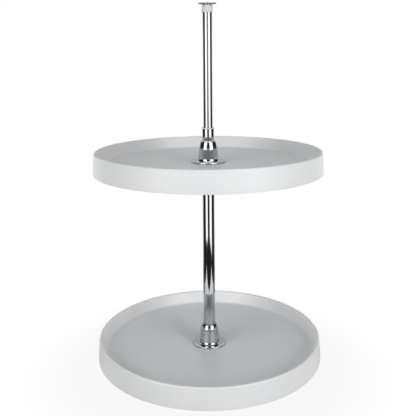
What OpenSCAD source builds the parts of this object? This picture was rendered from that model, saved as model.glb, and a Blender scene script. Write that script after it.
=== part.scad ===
// Two-shelf rotating pantry unit: round moulded trays that turn on a telescoping chrome post.
// Millimetres, +Z up. The origin is the centre of the floor flange's underside.

/* [Post] */
// Height from the cabinet floor to the top of the top plate
overall_h = 740; // [700:1:786]
// Outside diameter of the fixed outer tube
outer_tube_d = 24; // [23.6:0.1:24.4]
// Outside diameter of the sliding inner tube
inner_tube_d = 18.8; // [18.4:0.1:19]
// Wall thickness of both steel tubes
tube_wall = 1.2; // [1:0.1:1.2]
// Height of the outer tube's open end above the cabinet floor
outer_tube_top = 498; // [492:1:520]
// Length of inner tube that stays inside the outer tube
tube_overlap = 140; // [110:1:200]

/* [Shelves] */
// Outside diameter of a tray at the foot of its skirt
tray_d = 457; // [400:1:500]
// Height of a tray from the foot of its skirt to the crest of its rim
rim_h = 41.3; // [38:0.1:50]
// Height of a tray's floor above the foot of its skirt
floor_h = 16; // [15:0.5:18]
// Wall thickness of the moulded tray
tray_wall = 2.6; // [2.4:0.1:3]
// Foot of the lower tray's skirt above the cabinet floor
lower_tray_z = 30; // [30:1:60]
// Foot of the upper tray's skirt above the cabinet floor
upper_tray_z = 412; // [300:1:412]
// Radial ribs under the outer half of a tray; the inner half has half as many
rib_count = 24; // [16:2:32]

/* [Hub] */
// Diameter of the hub's round flange
hub_flange_d = 69; // [66:0.5:72]
// Height of the hub above the tray floor
hub_h = 44; // [42:1:50]
// Diameter of the hub at its top edge
hub_top_d = 33; // [32.5:0.1:34]
// Balls in each thrust bearing
ball_count = 16; // [10:1:20]

/* [Mounts] */
// Diameter of the floor flange
floor_flange_d = 84; // [80:1:100]
// Pitch circle of the floor flange's four screw holes
floor_pcd = 62; // [60:1:64]
// Diameter of the round top plate
top_plate_d = 36; // [36:0.5:40]
// Pitch circle of the top plate's three screw holes
top_pcd = 26.6; // [26.6:0.1:28]

/* [Hidden] */
NODES = [
    "floor_flange", "floor_flange_screw", "outer_tube", "tube_liner", "height_lock_screw",
    "inner_tube", "inner_tube_guide", "top_cap", "top_plate",
    "upper_tray", "upper_hub", "upper_hub_top_bush", "upper_hub_bottom_bush",
    "upper_backing_plate", "upper_hub_screws", "upper_bearing_top_race",
    "upper_bearing_cage", "upper_bearing_balls", "upper_bearing_bottom_race",
    "upper_lock_collar", "upper_collar_screw",
    "lower_tray", "lower_hub", "lower_hub_top_bush", "lower_hub_bottom_bush",
    "lower_backing_plate", "lower_hub_screws", "lower_bearing_top_race",
    "lower_bearing_cage", "lower_bearing_balls", "lower_bearing_bottom_race",
    "lower_lock_collar", "lower_collar_screw"
];
node = "all";
$fn = 96;

// Radial clearance of the running fits, and the gap at which two bodies stop short of each other
run = 0.05;
stop_gap = 0.3;
eps = 0.01;

// Finishes
chrome = [0.82, 0.84, 0.87];
polymer = [0.93, 0.94, 0.95];
nylon = [0.9, 0.9, 0.88];
zinc = [0.66, 0.68, 0.7];
steel = [0.55, 0.56, 0.58];

// Post
tube_r = outer_tube_d / 2;
tube_bore_r = tube_r - tube_wall;
tube_end_round = 0.6;
mast_r = inner_tube_d / 2;
liner_h = 40;
liner_sink = 0.8;
guide_h = 18;
guide_floor = 2;
guide_hole_r = 6;
lead_in = 0.8;
set_screw_r = 2.5;
lock_screw_drop = 9;

// Top end: plate with its boss and pin, and the cap that the pin plugs into
top_plate_t = 1.6;
top_boss_r = 9;
top_boss_h = 3;
top_pin_r = 5;
top_pin_h = 10;
top_hole_r = 1.8;
top_sink_r = 3;
cap_r = 10.7;
cap_h = 13.4;
cap_bead = 0.6;
cap_bead_h = 2.4;
cap_bead_count = 3;
cap_roof = 4.5;
cap_flutes = 16;
cap_top = overall_h - top_plate_t - top_boss_h;
mast_top = cap_top - cap_roof;
mast_bottom = outer_tube_top - tube_overlap;

// Floor flange
flange_t = 4;
flange_web = 3;
flange_edge = 1;
socket_r = 18;
socket_foot_r = 23;
socket_screw_z = 16;
floor_hole_r = 2.4;
floor_sink_r = 4.6;

// Tray section
tray_r = tray_d / 2;
skirt_draft = 2.5;
skirt_edge = 0.5;
ridge_r = 3.3;
ridge_x = tray_r - skirt_draft - ridge_r;
ridge_z = rim_h - ridge_r;
inner_lean = 6.9;
wall_foot_x = ridge_x - ridge_r - inner_lean;
floor_fillet = 5;
floor_under = floor_h - tray_wall;
channel_top = rim_h - 2 * ridge_r;
tray_hole_r = 19.3;

// Ribs under the tray
rib_t = 2;
ring_rib_foot = 4;
radial_rib_foot = 5;
rib_bite = 0.6;
gusset_top = 27;
ring_rib_r = [38, 110, 160];

// Parts that hang under a tray's floor
plate_t = 1.5;
spigot_r = 19;
spigot_h = tray_wall + plate_t;
race_t = 1.4;
cage_t = 1.4;
cage_gap = 0.4;
cage_edge = 0.3;
ball_r = 1.5;
ball_fit = 0.08;
ball_track_r = 15.5;
race_in_r = 12.7;
race_out_r = 18.5;
ball_plane = -(spigot_h + race_t + cage_gap + cage_t / 2);
bearing_foot = 2 * ball_plane + spigot_h;
collar_h = 11;
collar_r = 18;
collar_edge = 0.8;
collar_foot = bearing_foot - collar_h;

// Hub
hub_flange_r = hub_flange_d / 2;
hub_flange_t = 4;
hub_rim_round = 2.4;
hub_top_r = hub_top_d / 2;
hub_top_bevel = 1.6;
hub_foot_r = 24.5;
hub_waist_r = 20.4;
hub_waist_z = 8.5;
hub_shoulder_r = 19.5;
hub_shoulder_drop = 13;
hub_bore_r = 13.2;
top_bush_r = 13.8;
top_bush_h = 13;
top_bush_sink = 1.4;
bottom_bush_r = 14.6;
bottom_bush_h = 14;
hub_screw_pitch_r = 26;
hub_screw_count = 3;
hub_screw_r = 1.6;
hub_screw_depth = 2.6;
screw_boss_r = 4.2;
screw_boss_h = 2.4;
screw_head_r = 3.6;
screw_head_h = 2.3;
recess_w = 0.9;
recess_l = 4.2;
recess_depth = 1.3;

function arc(centre, r, from, to, steps) =
    [for (i = [0:steps]) let (a = from + (to - from) * i / steps) centre + r * [cos(a), sin(a)]];

// A bend from a to c that leaves a and reaches c along the lines to corner b
function bend(a, b, c, steps) =
    [for (i = [0:steps]) let (t = i / steps) (1 - t) * (1 - t) * a + 2 * t * (1 - t) * b + t * t * c];

module ring(outer, inner, h) {
    difference() {
        cylinder(r = outer, h = h);
        translate([0, 0, -eps]) cylinder(r = inner, h = h + 2 * eps);
    }
}

module around(count, r, turn = 0) {
    for (i = [0:count - 1]) rotate(turn + i * 360 / count) translate([r, 0, 0]) children();
}

// A socket set screw that lies along +Y, its tip at the given distance from the axis
module set_screw(r, tip, length) {
    point = 0.6;
    hex_r = r * 0.55;
    hex_depth = length * 0.4;
    translate([0, tip, 0]) rotate([-90, 0, 0]) difference() {
        rotate_extrude() polygon([
            [0, 0], [r - point, 0], [r, point], [r, length - point / 2],
            [r - point / 2, length], [0, length]
        ]);
        translate([0, 0, length - hex_depth]) cylinder(r = hex_r, h = hex_depth + 1, $fn = 6);
    }
}

// The round hole that such a screw passes through, between two distances from the axis
module set_screw_hole(from, to) {
    translate([0, from, 0]) rotate([-90, 0, 0]) cylinder(r = set_screw_r + run, h = to - from);
}

// ---- Post ----

module floor_flange() {
    socket_top = lower_tray_z + floor_h + collar_foot - stop_gap;
    rise = 6;
    sink = floor_sink_r - floor_hole_r;
    color(zinc) difference() {
        rotate_extrude() polygon(concat(
            [[0, 0], [floor_flange_d / 2, 0], [floor_flange_d / 2, flange_t - flange_edge],
             [floor_flange_d / 2 - flange_edge, flange_t]],
            bend([socket_foot_r, flange_t], [socket_r, flange_t], [socket_r, flange_t + rise], 5),
            [[socket_r, socket_top - flange_edge], [socket_r - flange_edge, socket_top], [0, socket_top]]
        ));
        translate([0, 0, flange_web]) cylinder(r = tube_r + run, h = socket_top);
        around(4, floor_pcd / 2, 45) {
            translate([0, 0, -1]) cylinder(r = floor_hole_r, h = flange_t + 2);
            translate([0, 0, flange_t - sink])
                cylinder(r1 = floor_hole_r, r2 = floor_sink_r + 1, h = sink + 1);
        }
        translate([0, 0, socket_screw_z]) set_screw_hole(0, socket_r + 1);
    }
}

module floor_flange_screw() {
    color(steel) translate([0, 0, socket_screw_z])
        set_screw(set_screw_r, tube_r + run, socket_r - tube_r - 0.5);
}

module outer_tube() {
    color(chrome) difference() {
        rotate_extrude() polygon(concat(
            [[tube_bore_r, flange_web], [tube_r, flange_web]],
            arc([tube_r - tube_end_round, outer_tube_top - tube_end_round], tube_end_round, 0, 90, 3),
            [[tube_bore_r, outer_tube_top]]
        ));
        translate([0, 0, outer_tube_top - lock_screw_drop]) set_screw_hole(tube_bore_r - 2, tube_r + 2);
    }
}

// Plastic sleeve in the mouth of the outer tube that the inner tube slides in
module tube_liner() {
    top = outer_tube_top - liner_sink;
    color(nylon) difference() {
        translate([0, 0, top - liner_h]) rotate_extrude() polygon([
            [mast_r + run, lead_in], [mast_r + run + lead_in / 2, 0], [tube_bore_r - run, 0],
            [tube_bore_r - run, liner_h], [mast_r + run + lead_in / 2, liner_h],
            [mast_r + run, liner_h - lead_in]
        ]);
        translate([0, 0, outer_tube_top - lock_screw_drop]) set_screw_hole(mast_r - 1, tube_r + 2);
    }
}

module height_lock_screw() {
    proud = 0.7;
    color(steel) translate([0, 0, outer_tube_top - lock_screw_drop])
        set_screw(set_screw_r, mast_r + run, tube_r - mast_r + proud);
}

module inner_tube() {
    color(chrome) translate([0, 0, mast_bottom])
        ring(mast_r, mast_r - tube_wall, mast_top - mast_bottom);
}

// Plastic foot that keeps the inner tube central in the outer one
module inner_tube_guide() {
    outer_r = tube_bore_r - run;
    color(nylon) translate([0, 0, mast_bottom - guide_floor]) rotate_extrude() polygon([
        [guide_hole_r, 0], [outer_r - lead_in, 0], [outer_r, lead_in],
        [outer_r, guide_h], [mast_r + run, guide_h], [mast_r + run, guide_floor],
        [guide_hole_r, guide_floor]
    ]);
}

// Cap with a bead at each end and one in the middle, which shallow grip flutes cross
module top_cap() {
    flute_r = 0.7;
    flute_depth = 0.35;
    flute_start = cap_bead_h + cap_bead;
    bead_slope = 0.6;
    bead_step = (cap_h - cap_bead_h) / (cap_bead_count - 1);
    color(nylon) translate([0, 0, cap_top - cap_h]) difference() {
        rotate_extrude() polygon(concat(
            [[mast_r + run, 0]],
            [for (i = [0:cap_bead_count - 1]) let (z = i * bead_step) each [
                [cap_r, z], [cap_r + cap_bead, z + bead_slope],
                [cap_r + cap_bead, z + cap_bead_h - bead_slope], [cap_r, z + cap_bead_h]
            ]],
            [[top_pin_r + run, cap_h], [top_pin_r + run, cap_h - cap_roof],
             [mast_r + run, cap_h - cap_roof]]
        ));
        translate([0, 0, flute_start]) around(cap_flutes, cap_r + flute_r - flute_depth)
            cylinder(r = flute_r, h = cap_h - 2 * flute_start, $fn = 16);
    }
}

// Round plate under the cabinet top, drawn upside down from its top face
module top_plate() {
    plate_r = top_plate_d / 2;
    boss_end = top_plate_t + top_boss_h;
    pin_end = boss_end + top_pin_h;
    plate_edge = 0.4;
    pin_edge = 1;
    sink = top_sink_r - top_hole_r;
    color(chrome) translate([0, 0, overall_h]) mirror([0, 0, 1]) difference() {
        rotate_extrude() polygon([
            [0, 0], [plate_r - plate_edge, 0], [plate_r, plate_edge],
            [plate_r, top_plate_t - plate_edge], [plate_r - plate_edge, top_plate_t],
            [top_boss_r, top_plate_t], [top_boss_r, boss_end], [top_pin_r, boss_end],
            [top_pin_r, pin_end - pin_edge], [top_pin_r - pin_edge, pin_end], [0, pin_end]
        ]);
        around(3, top_pcd / 2, 90) {
            translate([0, 0, -1]) cylinder(r = top_hole_r, h = top_plate_t + 2);
            translate([0, 0, top_plate_t - sink])
                cylinder(r1 = top_hole_r, r2 = top_sink_r + 1, h = sink + 1);
        }
    }
}

// ---- Tray: drawn with z = 0 at the foot of its skirt ----

function skirt_x(z) = tray_r - skirt_draft * z / ridge_z;

function inner_wall_x(z) = wall_foot_x + inner_lean * (z - floor_h) / (ridge_z - floor_h);

// Half section of the tray: floor, leaning inner wall, rolled ridge and hollow skirt
module tray_section() {
    under_corner = [inner_wall_x(floor_under) + tray_wall, floor_under];
    under_end_z = floor_under + floor_fillet;
    polygon(concat(
        [[tray_hole_r, floor_h], [tray_hole_r, floor_under]],
        bend(under_corner - [floor_fillet, 0], under_corner,
             [inner_wall_x(under_end_z) + tray_wall, under_end_z], 5),
        [[inner_wall_x(channel_top) + tray_wall, channel_top],
         [skirt_x(channel_top) - tray_wall, channel_top],
         [skirt_x(0) - tray_wall, 0], [tray_r - skirt_edge, 0], [skirt_x(skirt_edge), skirt_edge]],
        arc([ridge_x, ridge_z], ridge_r, 0, 180, 12),
        bend([inner_wall_x(floor_h + floor_fillet), floor_h + floor_fillet], [wall_foot_x, floor_h],
             [wall_foot_x - floor_fillet, floor_h], 6)
    ));
    for (r = ring_rib_r)
        translate([r, ring_rib_foot]) square([rib_t, floor_under + rib_bite - ring_rib_foot]);
}

// Ribs that run from the middle ring rib to the skirt and fill the foot of the hollow rim
module outer_rib() {
    rotate([90, 0, 0]) translate([0, 0, -rib_t / 2]) linear_extrude(rib_t) polygon([
        [ring_rib_r[1] + rib_t / 2, radial_rib_foot],
        [skirt_x(radial_rib_foot) - tray_wall + rib_bite, radial_rib_foot],
        [skirt_x(gusset_top) - tray_wall + rib_bite, gusset_top],
        [inner_wall_x(gusset_top) + tray_wall - rib_bite, gusset_top],
        [inner_wall_x(floor_h) + tray_wall - rib_bite, floor_h],
        [wall_foot_x, floor_under + rib_bite],
        [ring_rib_r[1] + rib_t / 2, floor_under + rib_bite]
    ]);
}

module inner_rib() {
    translate([ring_rib_r[0] + rib_t / 2, -rib_t / 2, radial_rib_foot])
        cube([ring_rib_r[1] - ring_rib_r[0], rib_t, floor_under + rib_bite - radial_rib_foot]);
}

module tray() {
    boss_fit = 0.2;
    color(polymer) difference() {
        union() {
            rotate_extrude($fn = 180) tray_section();
            around(rib_count / 2, 0) inner_rib();
            around(rib_count, 0) outer_rib();
        }
        translate([0, 0, floor_under - 1]) around(hub_screw_count, hub_screw_pitch_r, 90)
            cylinder(r = screw_boss_r + boss_fit, h = tray_wall + 2);
    }
}

// ---- Hub and bearing: drawn with z = 0 at the top face of the tray floor ----

// Chrome hub: flange with a rounded rim, tapered body, rounded shoulder and bevelled top edge
module hub() {
    shoulder_z = hub_h - hub_shoulder_drop;
    neck_z = hub_h - hub_top_bevel;
    foot_z = hub_flange_t + 0.4;
    flange_edge_r = hub_flange_r - 0.6;
    color(chrome) difference() {
        union() {
            rotate_extrude() polygon(concat(
                [[top_bush_r, hub_h], [top_bush_r, hub_h - top_bush_h], [hub_bore_r, hub_h - top_bush_h],
                 [hub_bore_r, bottom_bush_h - spigot_h], [bottom_bush_r, bottom_bush_h - spigot_h],
                 [bottom_bush_r, -spigot_h], [spigot_r, -spigot_h], [spigot_r, 0], [flange_edge_r, 0]],
                arc([hub_flange_r - hub_rim_round, hub_flange_t - hub_rim_round], hub_rim_round, 0, 90, 6),
                bend([hub_foot_r, foot_z], [hub_waist_r, foot_z], [hub_waist_r, hub_waist_z], 6),
                bend([hub_shoulder_r, shoulder_z], [hub_shoulder_r - 0.4, (shoulder_z + neck_z) / 2 + 1],
                     [hub_top_r, neck_z], 8),
                [[hub_top_r - hub_top_bevel, hub_h]]
            ));
            translate([0, 0, -screw_boss_h]) around(hub_screw_count, hub_screw_pitch_r, 90)
                cylinder(r = screw_boss_r, h = screw_boss_h + 1);
        }
        translate([0, 0, -screw_boss_h - 1]) around(hub_screw_count, hub_screw_pitch_r, 90)
            cylinder(r = hub_screw_r + run, h = screw_boss_h + 1 + hub_screw_depth);
    }
}

module hub_top_bush() {
    color(nylon) translate([0, 0, hub_h - top_bush_h])
        ring(top_bush_r - run, tube_r + run, top_bush_h - top_bush_sink);
}

module hub_bottom_bush() {
    color(nylon) translate([0, 0, -spigot_h])
        ring(bottom_bush_r - run, tube_r + run, bottom_bush_h - run);
}

// Steel plate under the tray floor that the hub screws pull up
module backing_plate() {
    screw_fit = 0.3;
    color(zinc) translate([0, 0, -spigot_h]) difference() {
        ring(hub_flange_r, spigot_r + screw_fit, plate_t);
        around(hub_screw_count, hub_screw_pitch_r, 90)
            translate([0, 0, -1]) cylinder(r = hub_screw_r + screw_fit, h = plate_t + 2);
    }
}

// Cross-recess screws, seen as pan heads from below
module hub_screws() {
    end_gap = 0.3;
    color(steel) translate([0, 0, -spigot_h]) around(hub_screw_count, hub_screw_pitch_r, 90) difference() {
        union() {
            cylinder(r = hub_screw_r, h = spigot_h + hub_screw_depth - end_gap);
            mirror([0, 0, 1]) rotate_extrude() polygon(concat(
                [[0, 0]],
                bend([screw_head_r, 0], [screw_head_r, screw_head_h], [screw_head_r / 2, screw_head_h], 5),
                [[0, screw_head_h]]
            ));
        }
        for (turn = [0, 90]) rotate(turn)
            translate([-recess_l / 2, -recess_w / 2, -screw_head_h - 1])
                cube([recess_l, recess_w, recess_depth + 1]);
    }
}

// Half section of a bearing race, its ball groove facing up
module race_section() {
    difference() {
        translate([race_in_r, 0]) square([race_out_r - race_in_r, race_t]);
        translate([ball_track_r, race_t + cage_gap + cage_t / 2]) circle(r = ball_r + ball_fit, $fn = 64);
    }
}

module bearing_top_race() {
    color(steel) translate([0, 0, -spigot_h]) mirror([0, 0, 1]) rotate_extrude() race_section();
}

module bearing_bottom_race() {
    color(steel) translate([0, 0, bearing_foot]) rotate_extrude() race_section();
}

module bearing_cage() {
    color(nylon) translate([0, 0, ball_plane - cage_t / 2]) difference() {
        ring(race_out_r - cage_edge, race_in_r + cage_edge, cage_t);
        around(ball_count, ball_track_r)
            translate([0, 0, -1]) cylinder(r = ball_r + run, h = cage_t + 2, $fn = 32);
    }
}

module bearing_balls() {
    color(steel) translate([0, 0, ball_plane]) around(ball_count, ball_track_r) sphere(r = ball_r, $fn = 32);
}

// Shaft collar that carries the shelf; its set screw grips the tube
module lock_collar() {
    color(zinc) translate([0, 0, collar_foot]) difference() {
        rotate_extrude() polygon([
            [tube_r + run, collar_edge / 2], [tube_r + run + collar_edge / 2, 0],
            [collar_r - collar_edge, 0], [collar_r, collar_edge],
            [collar_r, collar_h - collar_edge], [collar_r - collar_edge, collar_h],
            [tube_r + run, collar_h]
        ]);
        translate([0, 0, collar_h / 2]) set_screw_hole(0, collar_r + 1);
    }
}

module collar_screw() {
    sunk = 0.5;
    color(steel) translate([0, 0, collar_foot + collar_h / 2])
        set_screw(set_screw_r, tube_r + run, collar_r - tube_r - sunk);
}

// ---- Nodes ----

function wanted(name) = node == "all" || node == name;

module shelf_nodes(prefix, tray_z) {
    if (wanted(str(prefix, "_tray"))) translate([0, 0, tray_z]) tray();
    translate([0, 0, tray_z + floor_h]) {
        if (wanted(str(prefix, "_hub"))) hub();
        if (wanted(str(prefix, "_hub_top_bush"))) hub_top_bush();
        if (wanted(str(prefix, "_hub_bottom_bush"))) hub_bottom_bush();
        if (wanted(str(prefix, "_backing_plate"))) backing_plate();
        if (wanted(str(prefix, "_hub_screws"))) hub_screws();
        if (wanted(str(prefix, "_bearing_top_race"))) bearing_top_race();
        if (wanted(str(prefix, "_bearing_cage"))) bearing_cage();
        if (wanted(str(prefix, "_bearing_balls"))) bearing_balls();
        if (wanted(str(prefix, "_bearing_bottom_race"))) bearing_bottom_race();
        if (wanted(str(prefix, "_lock_collar"))) lock_collar();
        if (wanted(str(prefix, "_collar_screw"))) collar_screw();
    }
}

if (wanted("floor_flange")) floor_flange();
if (wanted("floor_flange_screw")) floor_flange_screw();
if (wanted("outer_tube")) outer_tube();
if (wanted("tube_liner")) tube_liner();
if (wanted("height_lock_screw")) height_lock_screw();
if (wanted("inner_tube")) inner_tube();
if (wanted("inner_tube_guide")) inner_tube_guide();
if (wanted("top_cap")) top_cap();
if (wanted("top_plate")) top_plate();
shelf_nodes("upper", upper_tray_z);
shelf_nodes("lower", lower_tray_z);
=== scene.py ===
"""Looks of a two-shelf rotating pantry unit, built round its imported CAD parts."""

import math

import bpy
from mathutils import Matrix, Vector


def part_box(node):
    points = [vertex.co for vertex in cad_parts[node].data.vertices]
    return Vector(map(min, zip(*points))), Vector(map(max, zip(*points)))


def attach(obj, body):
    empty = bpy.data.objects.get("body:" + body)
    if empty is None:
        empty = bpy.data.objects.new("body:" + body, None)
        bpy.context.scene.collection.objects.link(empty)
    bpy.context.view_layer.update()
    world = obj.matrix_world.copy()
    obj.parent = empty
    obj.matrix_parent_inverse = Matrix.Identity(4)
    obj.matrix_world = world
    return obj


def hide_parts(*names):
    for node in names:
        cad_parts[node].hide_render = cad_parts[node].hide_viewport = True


MM = 0.001

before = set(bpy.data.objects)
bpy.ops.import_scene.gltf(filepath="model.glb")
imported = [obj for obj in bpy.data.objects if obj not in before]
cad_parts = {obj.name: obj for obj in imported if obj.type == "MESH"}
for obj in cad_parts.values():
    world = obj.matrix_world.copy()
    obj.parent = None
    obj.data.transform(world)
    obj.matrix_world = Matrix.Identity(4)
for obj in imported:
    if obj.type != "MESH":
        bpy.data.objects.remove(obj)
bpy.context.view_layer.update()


# ---- Node trees ----


class Signal:
    """A socket of a node tree. Arithmetic on it adds Math nodes, and node() adds any other node."""

    def __init__(self, tree, socket=None):
        self.tree = tree
        self.socket = socket

    def node(self, kind, sockets=None, output=0, **settings):
        made = self.tree.nodes.new("ShaderNode" + kind)
        for name, value in settings.items():
            setattr(made, name, value)
        for name, value in (sockets or {}).items():
            if isinstance(value, Signal):
                self.tree.links.new(value.socket, made.inputs[name])
            else:
                made.inputs[name].default_value = value
        return Signal(self.tree, made.outputs[output])

    def maths(self, operation, *values):
        return self.node("Math", dict(enumerate(values)), operation=operation)

    def __add__(self, other):
        return self.maths("ADD", self, other)

    def __radd__(self, other):
        return self.maths("ADD", other, self)

    def __sub__(self, other):
        return self.maths("SUBTRACT", self, other)

    def __rsub__(self, other):
        return self.maths("SUBTRACT", other, self)

    def __mul__(self, other):
        return self.maths("MULTIPLY", self, other)

    def __rmul__(self, other):
        return self.maths("MULTIPLY", other, self)

    def __abs__(self):
        return self.maths("ABSOLUTE", self)

    def rise(self, low, high):
        """0 below low, 1 above high, and a soft step between them."""
        return self.node(
            "MapRange",
            {"Value": self, "From Min": low, "From Max": high},
            interpolation_type="SMOOTHSTEP",
        )

    def fall(self, low, high):
        """1 below low, 0 above high, and a soft step between them."""
        return 1 - self.rise(low, high)

    def tint(self, plain, marked):
        """A colour that goes from plain to marked as this signal goes from 0 to 1."""
        return self.node("Mix", {0: self, 6: plain, 7: marked}, output=2, data_type="RGBA")

    def split(self):
        """The three parts of a vector or a colour."""
        parts = self.node("SeparateXYZ", {0: self}).socket.node.outputs
        return [Signal(self.tree, part) for part in parts]

    def off_axis(self):
        """Distance from the post's axis, for a place in metres."""
        x, y = self.split()[:2]
        flat = self.node("CombineXYZ", {"X": x, "Y": y})
        return self.node("VectorMath", {0: flat}, output="Value", operation="LENGTH")

    def stretched(self, x, y, z):
        return self.node("Mapping", {"Vector": self, "Scale": (x, y, z)})

    def noise(self, scale, detail=2.0, roughness=0.5):
        return self.node(
            "TexNoise", {"Vector": self, "Scale": scale, "Detail": detail, "Roughness": roughness}
        )


def grey(level, blue=0.0):
    """A linear colour from an sRGB grey of 0 to 255, a little bluer where asked."""
    def linear(v):
        v = max(0.0, min(1.0, v / 255))
        return v / 12.92 if v <= 0.04045 else ((v + 0.055) / 1.055) ** 2.4
    return (linear(level - blue), linear(level), linear(level + blue), 1)


PLAIN_WHITE = (1, 1, 1, 1)
VIEWPORT_GREY = grey(220)


def finish(name, constants, build):
    """A material on one Principled shader. build() makes what varies from Object coordinates."""
    material = bpy.data.materials.new(name)
    material.use_nodes = True
    tree = material.node_tree
    shader = tree.nodes["Principled BSDF"]
    for socket, value in constants.items():
        shader.inputs[socket].default_value = value
    place = Signal(tree).node("TexCoord", output="Object")
    varying = build(place)
    height, depth = varying.pop("Relief")
    varying["Normal"] = place.node("Bump", {"Height": height, "Distance": depth, "Strength": 1.0})
    for socket, signal in varying.items():
        tree.links.new(signal.socket, shader.inputs[socket])
    material.diffuse_color = VIEWPORT_GREY
    return material


# ---- Finishes ----
# Scales are in features per metre, and the depth of a relief is in metres.


def tray_plastic(place):
    """Semi-matt white moulding: faint flow marks, fine grain, rub rings on the floor."""
    rings_per_metre = 900
    cloud = place.noise(7.0, 3.0)
    flow = place.stretched(1, 1, 5).noise(22.0, 4.0, 0.6)
    rings = place.node(
        "TexNoise",
        {"W": place.off_axis() * rings_per_metre + cloud * 2, "Scale": 1.0, "Detail": 3.0},
        noise_dimensions="1D",
    )
    facing_up = place.node("NewGeometry", output="Normal").split()[2].rise(0.9, 0.99)
    rub = rings.rise(0.62, 0.78) * facing_up * cloud.rise(0.42, 0.62)
    grain = place.noise(1500.0, 2.0)
    tone = cloud * 0.5 + flow * 0.5
    return {
        "Base Color": tone.tint(grey(234, 1.2), grey(241, 0.8)),
        "Roughness": 0.34 + flow * 0.10 + rub * 0.10,
        "Relief": (grain + rub * 0.6, 0.00003),
    }


def chrome_plate(place):
    """Bright plating with a few soft smudges and the faint grain of the metal under it."""
    smudge = place.noise(38.0, 4.0, 0.65).rise(0.52, 0.78)
    pores = place.noise(900.0, 2.0)
    return {
        "Base Color": smudge.tint(grey(209, 2), grey(200, 3)),
        "Roughness": 0.035 + smudge * 0.05,
        "Relief": (pores, 0.0000015),
    }


def satin_chrome(place):
    """Plated sheet with a satin face: the plating blurs what it mirrors."""
    cloud = place.noise(60.0, 3.0)
    brushed = place.stretched(1, 14, 1).noise(500.0, 2.0)
    return {
        "Base Color": cloud.tint(grey(214, 2), grey(204, 3)),
        "Roughness": 0.4 + cloud * 0.06 + brushed * 0.05,
        "Relief": (brushed, 0.000003),
    }


def drawn_chrome(place):
    """Plated tube: as chrome_plate, with draw lines along its length."""
    smudge = place.stretched(1, 1, 0.35).noise(34.0, 4.0, 0.65).rise(0.55, 0.8)
    lines = place.stretched(1, 1, 0.004).noise(1400.0, 2.0)
    return {
        "Base Color": smudge.tint(grey(209, 2), grey(200, 3)),
        "Roughness": 0.035 + smudge * 0.06 + lines * 0.01,
        "Relief": (lines, 0.000002),
    }


def moulded_nylon(light, dark):
    """Smooth moulded nylon that wanders between two shades."""
    def build(place):
        cloud = place.noise(60.0, 3.0)
        grain = place.noise(1800.0, 2.0)
        return {
            "Base Color": cloud.tint(light, dark),
            "Roughness": 0.36 + cloud * 0.12,
            "Relief": (grain, 0.00003),
        }
    return build


def plated_zinc(place):
    """Passivated zinc on pressed steel: spangled grey with a slight blue cast."""
    spangle = place.node("TexVoronoi", {"Vector": place, "Scale": 260.0}, output="Color").split()[0]
    cloud = place.noise(30.0, 4.0, 0.6)
    return {
        "Base Color": (spangle * 0.35 + cloud * 0.65).tint(grey(168, 3), grey(196, 1)),
        "Roughness": 0.30 + cloud * 0.18 + spangle * 0.05,
        "Relief": (spangle, 0.000012),
    }


def ground_steel(place):
    """Bright steel with fine level grinding lines."""
    cloud = place.noise(80.0, 3.0)
    lines = place.stretched(1, 1, 12).noise(700.0, 2.0)
    return {
        "Base Color": cloud.tint(grey(176, 1), grey(204, 1)),
        "Roughness": 0.18 + cloud * 0.12 + lines * 0.06,
        "Relief": (lines, 0.000004),
    }


METAL = {"Metallic": 1.0}
PLASTIC = {"Metallic": 0.0, "IOR": 1.5}
WHITE_NYLON = moulded_nylon(grey(234, 2), grey(228, 3))
DARK_NYLON = moulded_nylon(grey(62), grey(48))
FINISHES = {
    "tray_plastic": finish("tray_plastic_look", PLASTIC, tray_plastic),
    "chrome": finish("chrome_look", METAL, chrome_plate),
    "drawn_chrome": finish("drawn_chrome_look", METAL, drawn_chrome),
    "satin_chrome": finish("satin_chrome_look", METAL, satin_chrome),
    "white_nylon": finish("white_nylon_look", PLASTIC, WHITE_NYLON),
    "dark_nylon": finish("dark_nylon_look", PLASTIC, DARK_NYLON),
    "zinc_plate": finish("zinc_plate_look", METAL, plated_zinc),
    "bright_steel": finish("bright_steel_look", METAL, ground_steel),
}


# ---- Shaping: outlines are in mm, as (radius, height) ----

MERGE = 1e-6
FINE_MERGE = 1e-7


def bend(a, b, c, steps=8):
    """Points on a bend from a to c that leaves a and reaches c along the lines to corner b."""
    made = []
    for i in range(steps + 1):
        t = i / steps
        made.append(tuple(
            (1 - t) ** 2 * p + 2 * t * (1 - t) * q + t * t * r for p, q, r in zip(a, b, c)
        ))
    return made


def arc(centre, radius, start, end, steps=8):
    """Points on a circular arc, its angles in degrees."""
    made = []
    for i in range(steps + 1):
        angle = math.radians(start + (end - start) * i / steps)
        made.append((centre[0] + radius * math.cos(angle), centre[1] + radius * math.sin(angle)))
    return made


def drawn(corners):
    """A closed wire drawn corner by corner from one point, left in edit mode, all selected."""
    bpy.ops.object.select_all(action="DESELECT")
    bpy.ops.mesh.primitive_plane_add(size=MM, location=(0, 0, 0))
    piece = bpy.context.object
    bpy.ops.object.mode_set(mode="EDIT")
    bpy.ops.mesh.merge(type="CENTER")
    bpy.ops.transform.translate(value=corners[0])
    for here, there in zip(corners, corners[1:] + corners[:1]):
        bpy.ops.mesh.extrude_region_move(TRANSFORM_OT_translate={"value": there - here})
    bpy.ops.mesh.select_all(action="SELECT")
    bpy.ops.mesh.remove_doubles(threshold=MERGE)
    bpy.ops.mesh.select_all(action="SELECT")
    return piece


def lathe(outline, lift=0.0, steps=192):
    """Spins a closed outline round the post, lifted by so many mm."""
    piece = drawn([Vector((r * MM, 0, (z + lift) * MM)) for r, z in outline])
    bpy.ops.mesh.spin(steps=steps, angle=math.tau, center=(0, 0, 0), axis=(0, 0, 1))
    bpy.ops.mesh.select_all(action="SELECT")
    bpy.ops.mesh.remove_doubles(threshold=MERGE)
    bpy.ops.mesh.normals_make_consistent(inside=False)
    bpy.ops.object.mode_set(mode="OBJECT")
    return piece


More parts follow.
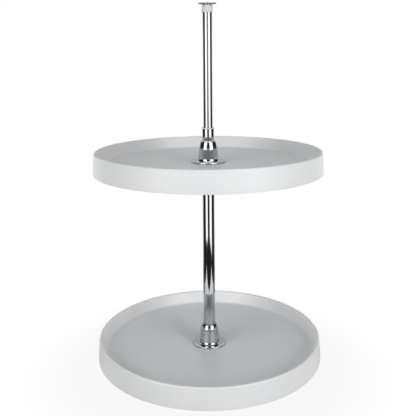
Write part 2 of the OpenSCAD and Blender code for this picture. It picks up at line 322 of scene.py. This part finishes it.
def joined(pieces):
    bpy.ops.object.select_all(action="DESELECT")
    for piece in pieces:
        piece.select_set(True)
    bpy.context.view_layer.objects.active = pieces[0]
    bpy.ops.object.join()
    return bpy.context.object


def dressed(piece, name, look, body, replaced, smooth=30):
    """Names a finished piece, smooths it, gives it its look and sets it on its body."""
    piece.name = name
    piece.data.name = name
    bpy.ops.object.select_all(action="DESELECT")
    piece.select_set(True)
    bpy.context.view_layer.objects.active = piece
    bpy.ops.object.shade_smooth_by_angle(angle=math.radians(smooth))
    piece.data.materials.clear()
    piece.data.materials.append(FINISHES[look])
    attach(piece, body)
    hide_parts(*replaced)


# ---- Tray: heights are above the foot of its skirt ----

TRAY_R = 228.5
RIM_H = 41.3
FLOOR_H = 16.0
WALL = 2.6
FILLET = 5.0
SKIRT_DRAFT = 2.5
SKIRT_EDGE = 0.6
RIDGE_R = 3.3
RIDGE_EDGE = 1.6
RIDGE_X = TRAY_R - SKIRT_DRAFT - RIDGE_R
RIDGE_Z = RIM_H - RIDGE_R
RIDGE_IN = RIDGE_X - RIDGE_R
LEAN = 6.9
WALL_FOOT_X = RIDGE_IN - LEAN
FLOOR_UNDER = FLOOR_H - WALL
CHANNEL_TOP = RIM_H - 2 * RIDGE_R
CHANNEL_ROUND = (2.0, 1.5)
HOLE_R = 19.3
RIB_T = 2.0
RIB_EDGE = 0.35
RIB_BITE = 0.6
RIB_TOP = FLOOR_UNDER + RIB_BITE
RING_RIBS = (38.0, 110.0, 160.0)
RING_FOOT = 4.0
RING_EDGE = 0.5
RADIAL_FOOT = 5.0
GUSSET_TOP = 27.0
RIB_COUNT = 24


def skirt_x(z):
    """Outside of the skirt."""
    return TRAY_R - SKIRT_DRAFT * z / RIDGE_Z


def skirt_inside_x(z):
    return skirt_x(z) - WALL


def inner_wall_x(z):
    """Face of the inner wall, on the side of the floor."""
    return WALL_FOOT_X + LEAN * (z - FLOOR_H) / (RIDGE_Z - FLOOR_H)


def inner_wall_back_x(z):
    return inner_wall_x(z) + WALL


def tray_shell(foot):
    """Floor, leaning inner wall, rolled ridge and hollow skirt."""
    wall_top = RIDGE_Z - 2
    round_h, round_w = CHANNEL_ROUND
    under_corner = (inner_wall_back_x(FLOOR_UNDER), FLOOR_UNDER)
    outline = [(HOLE_R, FLOOR_UNDER), (HOLE_R, FLOOR_H)]
    outline += [(radius, FLOOR_H) for radius in (40, 80, 120, 160)]
    outline += bend((WALL_FOOT_X - FILLET, FLOOR_H), (WALL_FOOT_X, FLOOR_H),
                    (inner_wall_x(FLOOR_H + FILLET), FLOOR_H + FILLET))
    outline += bend((inner_wall_x(wall_top), wall_top), (RIDGE_IN, RIDGE_Z),
                    (RIDGE_IN, RIDGE_Z + 0.6), 4)
    outline += bend((RIDGE_IN, RIM_H - RIDGE_EDGE), (RIDGE_IN, RIM_H),
                    (RIDGE_IN + RIDGE_EDGE, RIM_H), 8)
    outline += arc((RIDGE_X, RIDGE_Z), RIDGE_R, 90, 0, 14)
    outline += [(skirt_x(z), z) for z in (28, 18, 8)]
    outline += bend((skirt_x(SKIRT_EDGE), SKIRT_EDGE), (TRAY_R, 0), (TRAY_R - SKIRT_EDGE, 0), 3)
    outline += [(skirt_inside_x(z), z) for z in (0, 12)]
    outline += bend((skirt_inside_x(CHANNEL_TOP - round_h), CHANNEL_TOP - round_h),
                    (skirt_inside_x(CHANNEL_TOP), CHANNEL_TOP),
                    (skirt_inside_x(CHANNEL_TOP) - round_w, CHANNEL_TOP), 3)
    outline += [(inner_wall_back_x(CHANNEL_TOP), CHANNEL_TOP)]
    outline += bend((inner_wall_back_x(FLOOR_UNDER + FILLET), FLOOR_UNDER + FILLET), under_corner,
                    (under_corner[0] - FILLET, FLOOR_UNDER))
    return lathe(outline, foot, steps=256)


def ring_rib(foot, radius):
    outside = radius + RIB_T
    outline = [(radius, RIB_TOP), (radius, RING_FOOT + RING_EDGE), (radius + RING_EDGE, RING_FOOT),
               (outside - RING_EDGE, RING_FOOT), (outside, RING_FOOT + RING_EDGE),
               (outside, RIB_TOP)]
    return lathe(outline, foot, steps=128)


def radial_ribs(foot, outline, count):
    """One rib drawn upright along the X axis, thickened, its edges rounded, and repeated."""
    piece = drawn([Vector((x * MM, -RIB_T / 2 * MM, (z + foot) * MM)) for x, z in outline])
    bpy.ops.mesh.edge_face_add()
    bpy.ops.mesh.extrude_region_move(TRANSFORM_OT_translate={"value": (0, RIB_T * MM, 0)})
    bpy.ops.mesh.select_all(action="SELECT")
    bpy.ops.mesh.normals_make_consistent(inside=False)
    bpy.ops.mesh.bevel(offset=RIB_EDGE * MM, segments=2, affect="EDGES")
    bpy.ops.mesh.select_all(action="SELECT")
    bpy.ops.mesh.spin(dupli=True, steps=count, angle=math.tau, center=(0, 0, 0), axis=(0, 0, 1))
    bpy.ops.mesh.select_all(action="SELECT")
    bpy.ops.mesh.remove_doubles(threshold=FINE_MERGE)
    bpy.ops.object.mode_set(mode="OBJECT")
    return piece


def tray(shelf):
    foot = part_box(shelf + "_tray")[0].z / MM
    first_ring, second_ring = (radius + RIB_T / 2 for radius in RING_RIBS[:2])
    outer = [(second_ring, RADIAL_FOOT),
             (skirt_inside_x(RADIAL_FOOT) + RIB_BITE, RADIAL_FOOT),
             (skirt_inside_x(GUSSET_TOP) + RIB_BITE, GUSSET_TOP),
             (inner_wall_back_x(GUSSET_TOP) - RIB_BITE, GUSSET_TOP),
             (inner_wall_back_x(FLOOR_H) - RIB_BITE, FLOOR_H),
             (WALL_FOOT_X, RIB_TOP), (second_ring, RIB_TOP)]
    inner = [(first_ring, RADIAL_FOOT), (second_ring, RADIAL_FOOT),
             (second_ring, RIB_TOP), (first_ring, RIB_TOP)]
    pieces = [tray_shell(foot)] + [ring_rib(foot, radius) for radius in RING_RIBS]
    pieces += [radial_ribs(foot, outer, RIB_COUNT), radial_ribs(foot, inner, RIB_COUNT // 2)]
    dressed(joined(pieces), shelf + "_tray_moulding", "tray_plastic", shelf + "_shelf",
            [shelf + "_tray"])


# ---- Hub: heights are above the tray's floor ----

HUB_H = 44.0
HUB_NECK_H = HUB_H - 2.0
HUB_NECK_R = 15.5
HUB_LIP_R = 12.5
HUB_LIP_FOOT = HUB_H - 1.1
TOP_BUSH_R = 13.8
TOP_BUSH_FOOT = HUB_H - 13.0
HUB_BORE_R = 13.2
BOTTOM_BUSH_R = 14.6
BOTTOM_BUSH_TOP = 9.9
SPIGOT_R = 19.0
SPIGOT_FOOT = -(WALL + 1.5)
FLANGE_R = 34.5
FLANGE_T = 4.0
FLARE_R = 22.0
WAIST_R, WAIST_H = 20.0, 9.0
SHOULDER_R, SHOULDER_H = 18.75, 27.0


def hub(shelf):
    """Chrome hub: round-edged flange, flared foot, tapered body and a bright bevel at the top."""
    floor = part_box(shelf + "_tray")[0].z / MM + FLOOR_H
    bore = [(HUB_LIP_R, HUB_H - 0.2), (HUB_LIP_R, HUB_LIP_FOOT), (TOP_BUSH_R, HUB_LIP_FOOT),
            (TOP_BUSH_R, TOP_BUSH_FOOT), (HUB_BORE_R, TOP_BUSH_FOOT), (HUB_BORE_R, BOTTOM_BUSH_TOP),
            (BOTTOM_BUSH_R, BOTTOM_BUSH_TOP), (BOTTOM_BUSH_R, SPIGOT_FOOT)]
    spigot = [(SPIGOT_R, SPIGOT_FOOT), (SPIGOT_R, 0)]
    flange_edge = [(FLANGE_R - 0.5, 0), (FLANGE_R, 0.5)]
    flange_edge += bend((FLANGE_R - 0.05, 2.2), (FLANGE_R - 0.1, FLANGE_T),
                        (FLANGE_R - 1.8, FLANGE_T), 6)
    # The points close to both edges of the flat keep its shading flat.
    flange_top = [(FLANGE_R - 2.1, FLANGE_T), (FLARE_R + 0.3, FLANGE_T), (FLARE_R, FLANGE_T)]
    flare = bend((FLARE_R - 0.2, FLANGE_T + 0.2), (WAIST_R + 0.3, 6.0), (WAIST_R, WAIST_H), 10)
    body = [(19.65, 14), (19.25, 20)]
    shoulder = bend((SHOULDER_R, SHOULDER_H), (18.3, 35.1), (HUB_NECK_R, HUB_NECK_H), 14)
    bevel = [(HUB_NECK_R - 0.1, HUB_NECK_H + 0.1), (HUB_LIP_R + 1.2, HUB_H - 0.1),
             (HUB_LIP_R + 1.0, HUB_H), (HUB_LIP_R + 0.2, HUB_H)]
    outline = bore + spigot + flange_edge + flange_top + flare + body + shoulder + bevel
    dressed(lathe(outline, floor, steps=192), shelf + "_hub_casting", "chrome",
            shelf + "_shelf", [shelf + "_hub"], smooth=40)


# ---- Post ----

OUTER_TUBE_R, OUTER_TUBE_BORE = 12.0, 10.8
INNER_TUBE_R, INNER_TUBE_BORE = 9.4, 8.2
INNER_TUBE_FIT = 9.45
LINER_R = 10.7
COLLAR_R = 12.2
COLLAR_T = 1.7
CAP_END_R = 10.3
CAP_BARREL_R = 10.7
CAP_BEAD_R = 11.3
CAP_BEAD_H = 2.4
CAP_BEADS = 3
CAP_ROOF = 4.5
PIN_HOLE_R = 5.05


def tube(node, name, body, radius, bore, bevel, short=0.0):
    """A plated tube with a bevelled mouth, shorter than its node where something caps it."""
    low, high = (corner.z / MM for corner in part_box(node))
    high -= short
    outline = [(bore, low), (radius, low), (radius, (low + high) / 2), (radius, high - bevel),
               (radius - bevel, high), (bore + 0.1, high), (bore, high - 0.1)]
    dressed(lathe(outline, steps=192), name, "drawn_chrome", body, [node])


def tube_liner():
    """Nylon liner whose collar caps the end of the outer tube."""
    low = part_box("tube_liner")[0].z / MM
    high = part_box("outer_tube")[1].z / MM
    outline = [(INNER_TUBE_FIT, low), (LINER_R, low), (LINER_R, high - COLLAR_T),
               (COLLAR_R, high - COLLAR_T)]
    outline += bend((COLLAR_R, high - 0.6), (COLLAR_R, high), (COLLAR_R - 0.6, high), 4)
    outline += [(INNER_TUBE_FIT + 0.45, high), (INNER_TUBE_FIT, high - 0.45)]
    dressed(lathe(outline, steps=128), "tube_liner_moulding", "white_nylon", "post",
            ["tube_liner"])


def top_cap():
    """Nylon cap on the inner tube: beads round a plain barrel, and a hole for the plate's pin."""
    low, high = (corner.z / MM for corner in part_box("top_cap"))
    cap_h = high - low
    outline = [(INNER_TUBE_FIT, 0), (CAP_END_R, 0)]
    for i in range(CAP_BEADS):
        foot = i * (cap_h - CAP_BEAD_H) / (CAP_BEADS - 1)
        top = foot + CAP_BEAD_H
        outline += [(CAP_BARREL_R, foot + 0.1), (CAP_BEAD_R - 0.1, foot + 0.6),
                    (CAP_BEAD_R, foot + 0.9), (CAP_BEAD_R, top - 0.9),
                    (CAP_BEAD_R - 0.1, top - 0.6), (CAP_BARREL_R, top - 0.1)]
    outline += [(CAP_END_R, cap_h), (PIN_HOLE_R, cap_h), (PIN_HOLE_R, cap_h - CAP_ROOF),
                (INNER_TUBE_FIT, cap_h - CAP_ROOF)]
    dressed(lathe(outline, low, steps=96), "top_cap_moulding", "white_nylon", "mast",
            ["top_cap"], smooth=45)


for shelf in ("upper", "lower"):
    tray(shelf)
    hub(shelf)
tube_liner()
top_cap()
tube("outer_tube", "outer_tube_plated", "post", OUTER_TUBE_R, OUTER_TUBE_BORE, 0.3, short=COLLAR_T)
tube("inner_tube", "inner_tube_plated", "mast", INNER_TUBE_R, INNER_TUBE_BORE, 0.4)


# ---- Finishes of the CAD nodes ----

NODE_LOOKS = {
    "top_cap": "white_nylon",
    "top_plate": "satin_chrome",
    "floor_flange": "zinc_plate",
    "tube_liner": "white_nylon",
    "inner_tube_guide": "white_nylon",
    "height_lock_screw": "bright_steel",
    "floor_flange_screw": "bright_steel",
    "hub_top_bush": "dark_nylon",
    "hub_bottom_bush": "dark_nylon",
    "backing_plate": "zinc_plate",
    "hub_screws": "bright_steel",
    "bearing_top_race": "bright_steel",
    "bearing_bottom_race": "bright_steel",
    "bearing_cage": "white_nylon",
    "bearing_balls": "bright_steel",
    "lock_collar": "zinc_plate",
    "collar_screw": "bright_steel",
    "tray": "tray_plastic",
    "hub": "chrome",
    "outer_tube": "drawn_chrome",
    "inner_tube": "drawn_chrome",
}

for node_name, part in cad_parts.items():
    key = node_name.removeprefix("upper_").removeprefix("lower_")
    part.data.materials.clear()
    part.data.materials.append(FINISHES[NODE_LOOKS[key]])


# ---- Studio: what the camera, the plastic and the polished metal see ----

AMBIENT = 0.1
COOL_WHITE = (0.85, 0.94, 1.04, 1)
PANEL_LIGHT, PANEL_TOP_EXTRA = 1.6, 0.9
RIGHT_PANEL_SLOPE = 0.035
BACKDROP_LIGHT, BACKDROP_FOOT_EXTRA = 0.5, 0.45
BETWEEN_GLOW, ABOVE_GLOW = 0.2, 1.9
ROOM_LIGHT, HORIZON_LIGHT, FRONT_HORIZON_EXTRA = 0.02, 0.03, 0.24
CEILING_LIGHT = 1.1
FLOOR_MATT = grey(138)
FLOOR_DROP = 0.0004
SHADOW_SHARE = 0.07
TABLE_BACK, TABLE_FRONT, TABLE_SIDES_EXTRA = 0.24, 0.42, 0.26


def heading(start):
    """Degrees of a direction off the front (plus is right, 180 behind), and above the horizon."""
    x, y, z = start.node("TexCoord", output="Generated").split()
    return (x.maths("ARCTAN2", x, 0 - y) * (180 / math.pi),
            z.maths("ARCSINE", z) * (180 / math.pi))


def rays(start):
    """1 for rays straight from the camera, and 1 for rays that come off a glossy surface."""
    path = start.node("LightPath").socket.node.outputs
    return Signal(start.tree, path["Is Camera Ray"]), Signal(start.tree, path["Is Glossy Ray"])


def panel(side, near, far, height, foot):
    """A panel between two headings and above its foot."""
    return side.rise(*near) * side.fall(*far) * height.rise(*foot)


def studio_world():
    """White for the camera, even light for plastic, and a studio for metal to mirror.

    Metal sees white panels in front, dark flags beside them, and a backdrop with two glowing bands.
    """
    world = bpy.data.worlds.new("studio")
    bpy.context.scene.world = world
    world.use_nodes = True
    tree = world.node_tree
    tree.nodes.clear()
    start = Signal(tree)
    turn, rise = heading(start)
    side = abs(turn)
    right = turn.rise(-1, 1)
    left_panel = panel(side, (15, 22), (52, 61), rise, (-17.3, -16.5))
    right_panel = panel(side, (16, 23), (57, 65), rise + side * RIGHT_PANEL_SLOPE, (-16.5, -15.6))
    both_panels = ((1 - right) * left_panel + right * right_panel) * rise.fall(38, 50)
    panels = both_panels * (PANEL_LIGHT + rise.rise(16, 24) * PANEL_TOP_EXTRA)
    behind = (side - right * 5).rise(122, 128) * rise.fall(50, 62)
    backdrop = BACKDROP_LIGHT + rise.fall(2, 5) * BACKDROP_FOOT_EXTRA
    between = rise.rise(10, 13) * rise.fall(20, 23)
    above = rise.rise(29, 33)
    glow = side.rise(150, 160) * (between * BETWEEN_GLOW + above * ABOVE_GLOW)
    horizon = HORIZON_LIGHT + side.fall(60, 75) * FRONT_HORIZON_EXTRA
    room = ROOM_LIGHT + rise.rise(-10, 0) * rise.fall(5, 10) * horizon
    ceiling = rise.rise(50, 62) * CEILING_LIGHT
    seen_in_metal = room + ceiling + panels + behind * (backdrop + glow)
    to_camera, to_metal = rays(start)
    unseen = to_metal * seen_in_metal + (1 - to_metal) * AMBIENT
    strength = to_camera + (1 - to_camera) * unseen
    cool = to_metal * behind * rise.rise(0, 5) * (1 - between) * (1 - above)
    colour = cool.tint(PLAIN_WHITE, COOL_WHITE)
    shown = start.node("Background", {"Color": colour, "Strength": strength})
    out = tree.nodes.new("ShaderNodeOutputWorld")
    tree.links.new(shown.socket, out.inputs["Surface"])


def studio_floor():
    """A plain pale floor that keeps the object's shadow. Metal sees only a table top of it."""
    bpy.ops.object.select_all(action="DESELECT")
    bpy.ops.mesh.primitive_circle_add(
        vertices=96, radius=40.0, fill_type="NGON", location=(0, 0, -FLOOR_DROP)
    )
    floor = bpy.context.object
    floor.name = "studio_floor"
    material = bpy.data.materials.new("studio_floor_look")
    material.use_nodes = True
    tree = material.node_tree
    tree.nodes.clear()
    start = Signal(tree)
    place = start.node("TexCoord", output="Object")
    x, y = place.split()[:2]
    to_camera, to_metal = rays(start)
    table = y.rise(-0.435, -0.43) * abs(x).fall(0.465, 0.49)
    # Painted light: for metal the table top glows as if lit, brighter in front and brightest at its
    # front corners, darker behind.
    table_front = TABLE_FRONT + abs(x).rise(0.03, 0.12) * TABLE_SIDES_EXTRA
    painted_table_glow = TABLE_BACK + y.fall(-0.12, 0.06) * table_front
    matt = start.node("BsdfDiffuse", {"Color": FLOOR_MATT})
    white = start.node(
        "Emission", {"Color": PLAIN_WHITE, "Strength": to_camera + to_metal * painted_table_glow}
    )
    clear = start.node("BsdfTransparent", {"Color": PLAIN_WHITE})
    far_white = place.off_axis().rise(0.24, 0.42) * SHADOW_SHARE
    white_share = to_camera * (1 - SHADOW_SHARE + far_white) + to_metal
    table_top = start.node("MixShader", {0: white_share, 1: matt, 2: white})
    mixed = start.node("MixShader", {0: to_metal * (1 - table), 1: table_top, 2: clear})
    out = tree.nodes.new("ShaderNodeOutputMaterial")
    tree.links.new(mixed.socket, out.inputs["Surface"])
    floor.data.materials.append(material)


def softbox(name, azimuth, height, distance, width, tall, watts, aim):
    """A rectangular lamp round the post, aimed at a height on it. No camera or metal sees it."""
    lamp = bpy.data.lights.new(name, "AREA")
    lamp.shape = "RECTANGLE"
    lamp.size, lamp.size_y = width, tall
    lamp.energy = watts
    lamp_object = bpy.data.objects.new(name, lamp)
    bpy.context.scene.collection.objects.link(lamp_object)
    turn = math.radians(azimuth)
    spot = Vector((math.sin(turn) * distance, -math.cos(turn) * distance, height))
    lamp_object.location = spot
    lamp_object.rotation_mode = "QUATERNION"
    lamp_object.rotation_quaternion = (Vector((0, 0, aim)) - spot).to_track_quat("-Z", "Y")
    lamp_object.visible_glossy = False
    lamp_object.visible_camera = False


# Degrees off the front, height, distance, width, height of the lamp, watts, height aimed at
LAMPS = {
    "left_softbox": (-38, 0.52, 1.7, 0.9, 1.1, 8.8, 0.5),
    "right_softbox": (40, 0.52, 1.7, 0.9, 1.1, 14.0, 0.5),
    "left_side_light": (-64, 0.8, 1.7, 0.9, 1.0, 4.4, 0.45),
    "right_side_light": (66, 0.8, 1.7, 0.9, 1.0, 3.1, 0.45),
    "left_high_light": (-45, 1.15, 1.6, 0.9, 0.6, 3.6, 0.4),
    "right_high_light": (45, 1.15, 1.6, 0.9, 0.6, 2.4, 0.4),
    "left_back_strip": (-140, 0.07, 1.7, 1.2, 0.1, 14.0, 0.2),
    "right_back_strip": (140, 0.07, 1.7, 1.2, 0.1, 14.0, 0.2),
    "overhead_light": (0, 2.2, 0.3, 1.2, 1.2, 4.2, 0.3),
}

LENS, SENSOR = 52.88, 36.0
SHIFT = -0.1442
CAMERA_PLACE = (-0.00036, -1.2088, 0.6318)
CAMERA_PITCH, CAMERA_ROLL = 8.239, -0.402


def photo_camera():
    """The photograph's view: from above the upper shelf, looking a little down."""
    lens = bpy.data.cameras.new("photo_camera")
    lens.lens = LENS
    lens.sensor_width = SENSOR
    lens.sensor_fit = "HORIZONTAL"
    lens.shift_y = SHIFT
    camera = bpy.data.objects.new("photo_camera", lens)
    bpy.context.scene.collection.objects.link(camera)
    camera.matrix_world = (
        Matrix.Translation(CAMERA_PLACE)
        @ Matrix.Rotation(math.pi / 2 - math.radians(CAMERA_PITCH), 4, "X")
        @ Matrix.Rotation(math.radians(CAMERA_ROLL), 4, "Z")
    )
    bpy.context.scene.camera = camera


studio_world()
studio_floor()
for name, values in LAMPS.items():
    softbox(name, *values)
photo_camera()

bpy.context.scene.view_settings.view_transform = "Standard"
